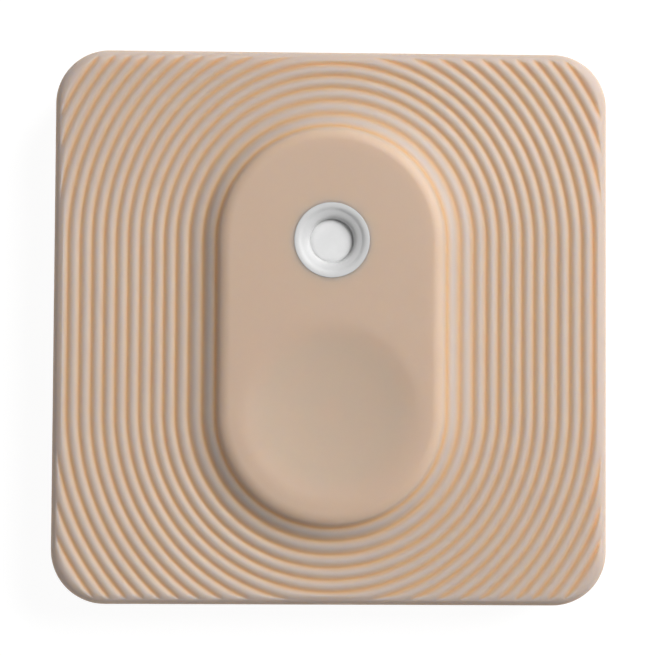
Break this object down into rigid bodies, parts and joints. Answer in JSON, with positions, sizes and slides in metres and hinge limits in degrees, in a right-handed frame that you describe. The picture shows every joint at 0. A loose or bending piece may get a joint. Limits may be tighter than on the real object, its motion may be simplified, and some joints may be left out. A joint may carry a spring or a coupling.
{
  "type": "temperature and humidity sensor",
  "caption": "Square coin-cell temperature and humidity tag with a ridged front, a raised pill with a finger dish, a white sensor port and a clip-in rear cover.",
  "frame": {"origin": "centre of the flat back face", "axes": "+Z out of the ridged front, +Y towards the end with the sensor port, +X to the right seen from the front"},
  "size_m": [0.035, 0.035, 0.0073],
  "materials": {
    "housing": "fine matt moulded plastic, slightly translucent, beige",
    "port_plastic": "satin white moulded plastic",
    "membrane": "matt porous white film",
    "silicone": "matt silicone rubber",
    "board": "glass-epoxy laminate with green solder mask",
    "moulding_compound": "black epoxy moulding compound",
    "ceramic": "fired ceramic with tinned end caps",
    "antenna_ceramic": "white fired ceramic with tinned end caps",
    "led_resin": "clear to pale yellow epoxy",
    "tinned_steel": "bright tinned sheet",
    "cell_steel": "nickel-plated deep-drawn steel",
    "contact_metal": "gold-flashed phosphor bronze strip",
    "plunger_plastic": "natural heat-resistant nylon"
  },
  "bodies": {
    "housing": {"front_cover": "housing", "port_ring": "port_plastic", "filter_membrane": "membrane", "port_gasket": "silicone", "circuit_board": "board", "sensor_chip": "moulding_compound", "radio_chip": "moulding_compound", "main_crystal": "tinned_steel", "clock_crystal": "tinned_steel", "chip_antenna": "antenna_ceramic", "status_led": "led_resin", "capacitors": "ceramic", "resistors": "moulding_compound", "inductors": "ceramic", "bulk_capacitor": "ceramic", "switch_base": "moulding_compound", "switch_dome": "tinned_steel", "switch_plate": "tinned_steel", "switch_terminals": "tinned_steel", "coin_cell": "cell_steel", "negative_contact": "contact_metal", "positive_contact": "contact_metal", "rear_seal": "silicone", "rear_cover": "housing"},
    "plunger": {"switch_plunger": "plunger_plastic"}
  },
  "joints": [
    {"name": "plunger_press", "type": "slide", "parent": "housing", "child": "plunger", "axis": [0, 0, -1], "range_m": [0, 0.00025], "stiffness_N_per_m": 200, "springref_m": -0.0002, "deforming": ["switch_dome"]}
  ]
}
